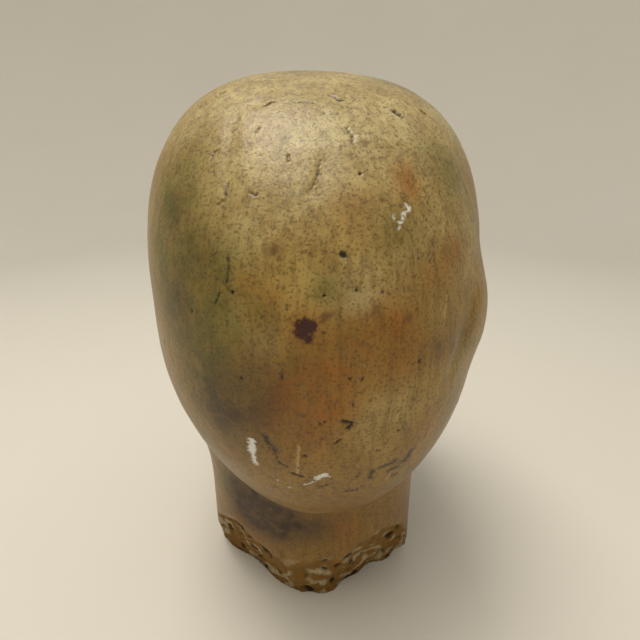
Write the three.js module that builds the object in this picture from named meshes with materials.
// Plaster bust: a life-size bald head on a short broken neck, cast as one piece.
// Millimetres. X is across the head, the face looks to -Y and a little upwards,
// Z is up, and the origin is the middle of the flat underside of the neck.
import * as THREE from 'three';

// Driving dimensions of the skull, which leans a little to one side
const skullCentre = [0, 5, 156];
const skullHalfWidth = 75;
const skullFront = 98;
const skullBack = 92;
const skullHalfHeight = 104;
const skullLean = THREE.MathUtils.degToRad(2.7);
const skullSquareness = 2.45;
const skullProfileSquareness = 2.2;
const skullNarrowing = { front: 0.14, low: 0.44, high: -0.17 };
const frontToBackBlend = 6;
const taperReach = 1.2;

// The skull is lopsided: on the +X side it is narrower below and above, and its crown is
// higher. Towards -X it swells a little behind the ear.
const lopsided = { low: 0.09, high: 0.03, crown: 0.014, halfSpread: 30 };
const skullSwelling = { ball: [-54.5, 25, 6], size: [20, 34, 26], blend: 10 };

// The face is turned up from the upright of the skull
const faceTilt = THREE.MathUtils.degToRad(12);

// Driving dimensions of the neck and of the break under it
const neckCentre = [2.6, 1.0];
const neckHalfWidth = 57;
const neckHalfDepth = 54;
const neckSquareness = 2.3;
const neckTop = 105;
const neckTopBlend = 10;
const throatNarrowing = 0.12;
const neckBlend = 5;

// Triangles in the finished surface
const triangleBudget = 9600;

// Rounded pieces that build the face up from the skull, in the face's own frame
// with its origin at the skull's centre. A pair stands on both sides.
const faceForms = [
  { name: 'face below the skull', ball: [0, -36, -60], size: [54, 54, 80], blend: 34 },
  { name: 'cheekbone', pair: true, ball: [39, -58, -45], size: [22, 26, 17], blend: 26 },
  { name: 'jaw', pair: true, rod: [42, -6, -84], to: [12, -74, -125], size: [12, 14.5], blend: 26 },
  { name: 'front of the teeth', ball: [0, -79, -90], size: [27, 20, 24], blend: 18 },
  { name: 'chin', ball: [0, -84, -128.5], size: [15, 14, 13], blend: 15 },
  { name: 'brow', pair: true, rod: [8, -90.5, -3], to: [40, -80, -2], size: [8, 6.5], blend: 18 },
  { name: 'eye socket', pair: true, cut: true, ball: [30.5, -104, -22], size: [18.5, 15, 12], blend: 12 },
  { name: 'nose sides', ball: [0, -92, -46], size: [13, 13, 30], blend: 12 },
  { name: 'nose bridge', rod: [0, -90, -10], to: [0, -110.5, -60], size: [7, 6.5], blend: 11 },
  { name: 'nose tip', ball: [0, -111.5, -63], size: [9, 9, 8.5], blend: 7 },
  { name: 'nose wing', pair: true, ball: [11, -102.5, -67], size: [6.3, 10, 6.8], blend: 7 },
  { name: 'nose base', rod: [0, -100, -75], to: [0, -110, -70.5], size: [3.4, 4.2], blend: 5 },
  { name: 'nostril', pair: true, cut: true, ball: [6.6, -105, -77.5], size: [3.4, 5.5, 4.5], blend: 2.5 },
];

const mouthForms = [
  { name: 'upper lip', pair: true, rod: [4, -99.2, -92.2], to: [22, -89.5, -97.4],
    size: [5.4, 2.4], blend: 6 },
  { name: 'lower lip', rod: [-7, -97, -102.6], to: [7, -97, -102.6], size: [6, 6], blend: 5 },
  { name: 'lower lip end', pair: true, rod: [7, -97, -102.6], to: [19, -89.5, -99.8],
    size: [6, 3], blend: 4 },
  { name: 'mouth line', cut: true, rod: [-4, -105.6, -97.6], to: [4, -105.6, -97.6],
    size: [1.5, 1.5], blend: 3 },
  { name: 'mouth line end', pair: true, cut: true, rod: [4, -105.6, -97.6], to: [25.5, -92, -98.8],
    size: [1.5, 1], blend: 3 },
  { name: 'hollow over the chin', cut: true, ball: [0, -105, -114], size: [17, 9, 4.5], blend: 10 },
  { name: 'groove under the nose', cut: true, rod: [0, -105, -79], to: [0, -107, -87],
    size: [2.6, 2.8], blend: 5 },
];

// Eyeball and lids, in the face's frame
const eye = {
  centre: [30.5, -78.5, -22.5], ballRadius: 12.8, lidRadius: 14.7,
  halfOpening: 5.4, halfLength: 14.8, slant: 0.08, drop: 0.4,
  lidEdgeBlend: 1.2, lidBlend: 4, ballBlend: 1,
};
const lidCrease = {
  height: 10.5, curve: 0.022, depthRadius: 15.6, radius: 1.5, fade: 0.012, outward: 2, front: -82,
  blend: 2.5,
};

// The ear lies in a frame of its own that leans back
const earCentre = [12, -40];
const earLean = 0.20;
const earForms = [
  { name: 'ear body', ball: [62, 0, 0], size: [9, 15.5, 29], blend: 8 },
  { name: 'ear rim', rim: true },
  { name: 'ear hollow', cut: true, ball: [74.5, -3, -3], size: [9, 7.5, 13], blend: 3 },
  { name: 'inner fold', rod: [67, 6, 12], to: [67, 6, -12], size: [2.6, 2.6], blend: 3 },
  { name: 'front flap', ball: [66, -13, -6], size: [4, 4, 6], blend: 3 },
  { name: 'lobe', ball: [65, -7, -26], size: [4.5, 7, 7.5], blend: 4 },
];
const earRim = {
  halfWidth: 15.5, halfHeight: 28.5, raise: 2, out: 68, radius: 3.4, spread: 20,
  openFrom: 9, openOver: 6, openThinning: 2.5, blend: 3,
};

// Forms of the neck, in the bust's frame, measured from the neck's centre
const neckForms = [
  { name: 'tendon', pair: true, rod: [42, 21, 95], to: [15, -46, 0], size: [12, 8], blend: 16 },
  { name: 'throat', ball: [0, -51, 20], size: [9, 8, 14], blend: 14 },
  { name: 'hollow of the nape', cut: true, ball: [37.4, 65, 38], size: [15, 15, 44], blend: 10 },
];

// The neck is broken off under the nape along three slanting faces.
// Each face has its direction across the table, how far from the middle it stands on the
// table, and how far it leans out per mm of height.
const breakFaces = [
  { name: 'left face', across: [0.65, 0.76], reach: 40.2, lean: 0.43 },
  { name: 'right face', across: [-0.56, 0.83], reach: 38.4, lean: 0.42 },
  { name: 'keel face', across: [0, 1], reach: 45.2, lean: 0.29 },
];

// The lumps of the broken plaster are low at the rim and reach full height further in
const breakLumps = {
  height: 0.9, rimShare: 0.25, growOver: 8, wavelengths: [31, 23, 27], phase: [0.4, 1.7, 2.9],
};

const midlineSoftness = 0.6;
const tiny = 1e-6;

// Smooth joins of two distances, the smaller or the larger one with a fillet
function join(a, b, blend) {
  const overlap = Math.max(blend - Math.abs(a - b), 0) / blend;
  return Math.min(a, b) - overlap * overlap * blend / 4;
}

function carve(a, b, blend) {
  return -join(-a, b, blend);
}

// Distance to a ball with three half-sizes
function ballDistance(x, y, z, centre, size) {
  const u = (x - centre[0]) / size[0];
  const v = (y - centre[1]) / size[1];
  const w = (z - centre[2]) / size[2];
  const scaled = Math.hypot(u, v, w);
  const slope = Math.hypot(u / size[0], v / size[1], w / size[2]);
  return scaled * (scaled - 1) / Math.max(slope, tiny);
}

// Distance to a round rod whose radius changes from one end to the other
function rodDistance(x, y, z, start, end, radii) {
  const run = [end[0] - start[0], end[1] - start[1], end[2] - start[2]];
  const from = [x - start[0], y - start[1], z - start[2]];
  const runSquared = run[0] * run[0] + run[1] * run[1] + run[2] * run[2];
  const along = (from[0] * run[0] + from[1] * run[1] + from[2] * run[2]) / runSquared;
  const share = THREE.MathUtils.clamp(along, 0, 1);
  const away = Math.hypot(from[0] - share * run[0], from[1] - share * run[1], from[2] - share * run[2]);
  return away - (radii[0] + (radii[1] - radii[0]) * share);
}

function addForm(distance, form, x, y, z) {
  const side = form.pair ? Math.sqrt(x * x + midlineSoftness) : x;
  const own = form.ball
    ? ballDistance(side, y, z, form.ball, form.size)
    : rodDistance(side, y, z, form.rod, form.to, form.size);
  return form.cut ? carve(distance, own, form.blend) : join(distance, own, form.blend);
}

// The skull: an egg that is broad above and narrow at the nape
function skullDistance(x, y, z) {
  const behind = 1 / (1 + Math.exp(-y / frontToBackBlend));
  const halfLength = skullFront * (1 - behind) + skullBack * behind;
  const front = THREE.MathUtils.clamp(-y / skullFront, 0, taperReach);
  const low = THREE.MathUtils.clamp(-z / skullHalfHeight, 0, taperReach);
  const high = THREE.MathUtils.clamp(z / skullHalfHeight, 0, 1);
  const side = Math.tanh(x / lopsided.halfSpread);
  const halfWidth = skullHalfWidth * (1 - skullNarrowing.front * front ** 2)
    * (1 - (skullNarrowing.low + lopsided.low * side) * low ** 2)
    * (1 - (skullNarrowing.high + lopsided.high * side) * high ** 2);
  const halfHeight = skullHalfHeight * (1 + lopsided.crown * side * high);
  const frontal = Math.abs(x / halfWidth) ** skullSquareness
    + Math.abs(z / halfHeight) ** skullSquareness;
  const scaled = (frontal ** (skullProfileSquareness / skullSquareness)
    + Math.abs(y / halfLength) ** skullProfileSquareness) ** (1 / skullProfileSquareness);
  const egg = Math.hypot(x, y, z) * (1 - 1 / Math.max(scaled, tiny));
  return addForm(egg, skullSwelling, x, y, z);
}

// Eyeball, the two lids round it and the crease over the upper lid
function addEye(distance, x, y, z) {
  const across = Math.sqrt(x * x + midlineSoftness) - eye.centre[0];
  const up = z - eye.centre[2];
  const fromCentre = Math.hypot(across, y - eye.centre[1], up);
  const halfOpening = eye.halfOpening * (1 - (across / eye.halfLength) ** 2);
  const opening = Math.abs(up + eye.slant * across - eye.drop) - halfOpening;
  const lids = carve(fromCentre - eye.lidRadius, opening, eye.lidEdgeBlend);
  const withLids = join(distance, lids, eye.lidBlend);
  const withBall = join(withLids, fromCentre - eye.ballRadius, eye.ballBlend);
  const overLid = up - lidCrease.height + lidCrease.curve * across ** 2;
  const fading = lidCrease.fade * (across - lidCrease.outward) ** 2 + Math.max(y - lidCrease.front, 0);
  const crease = Math.hypot(overLid, fromCentre - lidCrease.depthRadius) - lidCrease.radius + fading;
  return carve(withBall, crease, lidCrease.blend);
}

function addEarRim(distance, side, along, up) {
  const scaled = Math.hypot(along / earRim.halfWidth, (up - earRim.raise) / earRim.halfHeight);
  const open = THREE.MathUtils.clamp((-along - earRim.openFrom) / earRim.openOver, 0, 1);
  const rim = Math.hypot((scaled - 1) * earRim.spread, side - earRim.out)
    - earRim.radius + open * earRim.openThinning;
  return join(distance, rim, earRim.blend);
}

function addEar(distance, x, y, z) {
  const side = Math.abs(x);
  const fromY = y - earCentre[0];
  const fromZ = z - earCentre[1];
  const along = fromY * Math.cos(earLean) - fromZ * Math.sin(earLean);
  const up = fromY * Math.sin(earLean) + fromZ * Math.cos(earLean);
  return earForms.reduce((found, form) => (form.rim
    ? addEarRim(found, side, along, up)
    : addForm(found, form, side, along, up)), distance);
}

// How far a point is outside the slanting faces of the break, given its depth in the neck
function breakDistance(x, y, z, depth) {
  const faces = breakFaces.map(({ across, reach, lean }) => (
    (across[0] * x + across[1] * y - reach - lean * z) / Math.hypot(across[0], across[1], lean)));
  const [a, b, c] = breakLumps.wavelengths.map((length) => 2 * Math.PI / length);
  const [p, q, r] = breakLumps.phase;
  const waves = Math.sin(a * x + p) * Math.sin(b * z + q) + Math.sin(c * (x + y) + r) * Math.cos(a * z);
  const grown = THREE.MathUtils.clamp(depth / breakLumps.growOver, 0, 1);
  const height = breakLumps.height * THREE.MathUtils.lerp(breakLumps.rimShare, 1, grown);
  return Math.max(...faces) + height * waves;
}

function neckDistance(x, y, z) {
  const fromX = x - neckCentre[0];
  const fromY = y - neckCentre[1];
  const front = THREE.MathUtils.clamp(-fromY / neckHalfDepth, 0, taperReach);
  const halfWidth = neckHalfWidth * (1 - throatNarrowing * front ** 2);
  const scaled = (Math.abs(fromX / halfWidth) ** neckSquareness
    + Math.abs(fromY / neckHalfDepth) ** neckSquareness) ** (1 / neckSquareness);
  const side = Math.hypot(fromX, fromY) * (1 - 1 / Math.max(scaled, tiny));
  const column = carve(side, neckTop - z, neckTopBlend);
  const formed = neckForms.reduce((found, form) => addForm(found, form, fromX, fromY, z), column);
  return Math.max(formed, breakDistance(x, y, z, -formed));
}

// The whole bust: below zero inside the plaster, above zero outside
function plasterDistance(x, y, z) {
  const fromX = x - skullCentre[0];
  const fromY = y - skullCentre[1];
  const fromZ = z - skullCentre[2];
  const sx = fromX * Math.cos(skullLean) - fromZ * Math.sin(skullLean);
  const sz = fromX * Math.sin(skullLean) + fromZ * Math.cos(skullLean);
  const fy = fromY * Math.cos(faceTilt) - sz * Math.sin(faceTilt);
  const fz = fromY * Math.sin(faceTilt) + sz * Math.cos(faceTilt);
  const skull = skullDistance(sx, fromY, sz);
  const withFace = faceForms.reduce((found, form) => addForm(found, form, sx, fy, fz), skull);
  const withEyes = addEye(withFace, sx, fy, fz);
  const withMouth = mouthForms.reduce((found, form) => addForm(found, form, sx, fy, fz), withEyes);
  const head = addEar(withMouth, sx, fy, fz);
  return join(head, neckDistance(x, y, z), neckBlend);
}

// Guide rows from the underside to the crown. A ray leaves the middle of the bust at the
// given height, with one slope towards the face and another towards the back of the head,
// so that the rays reach under the chin and under the back of the skull.
const guideRows = [
  { at: 'edge of the underside', height: 0, face: 0, back: 0 },
  { at: 'front of the throat', height: 20, face: -6, back: 12 },
  { at: 'bend of the throat', height: 38, face: -9, back: 17 },
  { at: 'under the jaw', height: 62, face: -20, back: 14 },
  { at: 'under the chin', height: 88, face: -29, back: 5 },
  { at: 'chin', height: 111, face: -31, back: 0 },
  { at: 'lower lip', height: 126, face: -25, back: 3 },
  { at: 'upper lip', height: 133, face: -19, back: 7 },
  { at: 'nose', height: 140, face: -9, back: 14 },
  { at: 'eyes', height: 144, face: 6, back: 24 },
  { at: 'brow', height: 147, face: 18, back: 34 },
  { at: 'forehead', height: 150, face: 42, back: 54 },
  { at: 'crown', height: 152, face: 90, back: 90 },
];
const guideAxis = [1.5, -4];
const guideColumns = 20;
const lastRow = guideRows.length - 1;

// Walks out from the middle until the plaster ends, then halves the step to the surface
function castRay(start, direction) {
  const longest = 260;
  const slowest = 0.4;
  const caution = 0.6;
  const halvings = 14;
  const at = (t) => plasterDistance(start[0] + direction[0] * t, start[1] + direction[1] * t,
    start[2] + direction[2] * t);
  let inside = 0;
  let outside = 0;
  while (outside < longest) {
    const distance = at(outside);
    if (distance > 0) break;
    inside = outside;
    outside += Math.max(-distance * caution, slowest);
  }
  for (let i = 0; i < halvings; i += 1) {
    const middle = (inside + outside) / 2;
    if (at(middle) > 0) outside = middle;
    else inside = middle;
  }
  return start.map((value, axis) => value + direction[axis] * inside);
}

// Point of the surface at a turn round the bust and a row counted up from the underside.
// Rows below zero lie on the flat underside, closing to its middle at -1.
function surfacePoint(turn, row) {
  const angle = turn * 2 * Math.PI;
  const towardsFace = 0.5 + 0.5 * Math.cos(angle);
  const lower = Math.min(Math.max(Math.floor(row), 0), lastRow - 1);
  const share = Math.max(row, 0) - lower;
  const mix = (name) => THREE.MathUtils.lerp(guideRows[lower][name], guideRows[lower + 1][name], share);
  const slope = THREE.MathUtils.degToRad(THREE.MathUtils.lerp(mix('back'), mix('face'), towardsFace));
  const start = [guideAxis[0], guideAxis[1], mix('height')];
  const level = Math.cos(slope);
  const direction = [Math.sin(angle) * level, -Math.cos(angle) * level, Math.sin(slope)];
  const found = castRay(start, direction);
  if (row >= 0) return found;
  return found.map((value, axis) => THREE.MathUtils.lerp(value, [...guideAxis, 0][axis], -row));
}

// Vertices remember their turn and row, so an edge's middle can be found on the surface
const vertices = [];
function addVertex(turn, row) {
  vertices.push({ turn, row, point: surfacePoint(turn, row) });
  return vertices.length - 1;
}

function middleVertex(a, b) {
  const first = vertices[a];
  const second = vertices[b];
  const isPole = (vertex) => vertex.row === lastRow || vertex.row === -1;
  const row = (first.row + second.row) / 2;
  if (isPole(first)) return { turn: second.turn, row };
  if (isPole(second)) return { turn: first.turn, row };
  const gap = second.turn - first.turn;
  const wrapped = gap - Math.round(gap);
  return { turn: first.turn + wrapped / 2, row };
}

function firstGrid() {
  const triangles = [];
  const below = addVertex(0, -1);
  const above = addVertex(0, lastRow);
  const rings = [];
  for (let row = 0; row < lastRow; row += 1) {
    rings.push(Array.from({ length: guideColumns }, (_, column) => addVertex(column / guideColumns, row)));
  }
  for (let column = 0; column < guideColumns; column += 1) {
    const next = (column + 1) % guideColumns;
    triangles.push([below, rings[0][next], rings[0][column]]);
    triangles.push([above, rings[lastRow - 1][column], rings[lastRow - 1][next]]);
    for (let row = 0; row + 1 < lastRow; row += 1) {
      const [a, b] = [rings[row][column], rings[row][next]];
      const [c, d] = [rings[row + 1][column], rings[row + 1][next]];
      triangles.push([a, b, d], [a, d, c]);
    }
  }
  return triangles;
}

const edgeKey = (a, b) => (a < b ? `${a}_${b}` : `${b}_${a}`);
const distanceBetween = (p, q) => Math.hypot(p[0] - q[0], p[1] - q[1], p[2] - q[2]);

// Rough length of an edge as its turn and row give it, which stays short where the
// surface steps back behind a nostril or an ear
const girth = 500;
const rowSpacing = 22;
const stepAllowance = 1.6;
const largestErrorPerLength = 0.25;
const shareHalvedAtOnce = 0.05;
function guideLength(a, b) {
  const isPole = [a, b].some(({ row }) => row === lastRow || row === -1);
  const gap = b.turn - a.turn;
  const turned = isPole ? 0 : gap - Math.round(gap);
  return stepAllowance * Math.hypot(turned * girth, (b.row - a.row) * rowSpacing);
}

// Halves the longest edges of the triangles that stand furthest off the plaster's surface
function refine(triangles, budget) {
  const live = new Map();
  const owners = new Map();
  const middles = new Map();
  let nextName = 0;

  function edgeMiddle(a, b) {
    const key = edgeKey(a, b);
    if (!middles.has(key)) {
      const { turn, row } = middleVertex(a, b);
      const point = surfacePoint(turn, row);
      const chord = vertices[a].point.map((value, axis) => (value + vertices[b].point[axis]) / 2);
      const largest = largestErrorPerLength * guideLength(vertices[a], vertices[b]);
      const error = Math.min(distanceBetween(point, chord), largest);
      middles.set(key, { turn, row, point, error });
    }
    return middles.get(key);
  }

  function longestEdge(corners) {
    const edges = corners.map((corner, i) => [corner, corners[(i + 1) % 3]]);
    const length = ([a, b]) => Math.min(distanceBetween(vertices[a].point, vertices[b].point),
      guideLength(vertices[a], vertices[b]));
    const isLonger = (edge, best) => length(edge) > length(best)
      || (length(edge) === length(best) && edgeKey(...edge) > edgeKey(...best));
    return edges.reduce((best, edge) => (isLonger(edge, best) ? edge : best));
  }

  function insert(corners) {
    const name = nextName;
    nextName += 1;
    const edges = corners.map((corner, i) => [corner, corners[(i + 1) % 3]]);
    const error = Math.max(...edges.map(([a, b]) => edgeMiddle(a, b).error));
    live.set(name, { corners, error });
    edges.forEach(([a, b]) => {
      const key = edgeKey(a, b);
      owners.set(key, [...(owners.get(key) ?? []), name]);
    });
  }

  function remove(name) {
    const { corners } = live.get(name);
    live.delete(name);
    corners.forEach((corner, i) => {
      const key = edgeKey(corner, corners[(i + 1) % 3]);
      owners.set(key, owners.get(key).filter((owner) => owner !== name));
    });
  }

  function split(edge) {
    const [a, b] = edge;
    const middle = edgeMiddle(a, b);
    vertices.push({ turn: middle.turn, row: middle.row, point: middle.point });
    const added = vertices.length - 1;
    owners.get(edgeKey(a, b)).slice().forEach((name) => {
      const { corners } = live.get(name);
      remove(name);
      insert(corners.map((corner) => (corner === a ? added : corner)));
      insert(corners.map((corner) => (corner === b ? added : corner)));
    });
  }

  // An edge is halved only where it is the longest of both its triangles
  function halve(name) {
    const edge = longestEdge(live.get(name).corners);
    const neighbour = owners.get(edgeKey(...edge)).find((owner) => owner !== name);
    const theirs = longestEdge(live.get(neighbour).corners);
    if (edgeKey(...theirs) === edgeKey(...edge)) split(edge);
    else halve(neighbour);
  }

  triangles.forEach(insert);
  while (live.size < budget) {
    const sorted = [...live.entries()].sort((a, b) => b[1].error - a[1].error);
    const worst = sorted.slice(0, Math.ceil(live.size * shareHalvedAtOnce));
    worst.forEach(([name]) => {
      if (live.has(name) && live.size < budget) halve(name);
    });
  }
  return [...live.values()].map(({ corners }) => corners);
}

function plasterGeometry() {
  const triangles = refine(firstGrid(), triangleBudget);
  const geometry = new THREE.BufferGeometry();
  const positions = vertices.flatMap(({ point }) => point);
  geometry.setAttribute('position', new THREE.Float32BufferAttribute(positions, 3));
  geometry.setIndex(triangles.flat());
  geometry.computeVertexNormals();
  return geometry;
}

const varnishedPlaster = new THREE.MeshStandardMaterial({ color: '#a08a4c', roughness: 0.35, metalness: 0 });

const bust = new THREE.Group();
const head = new THREE.Mesh(plasterGeometry(), varnishedPlaster);
head.name = 'plaster_head';
bust.add(head);

export default bust;
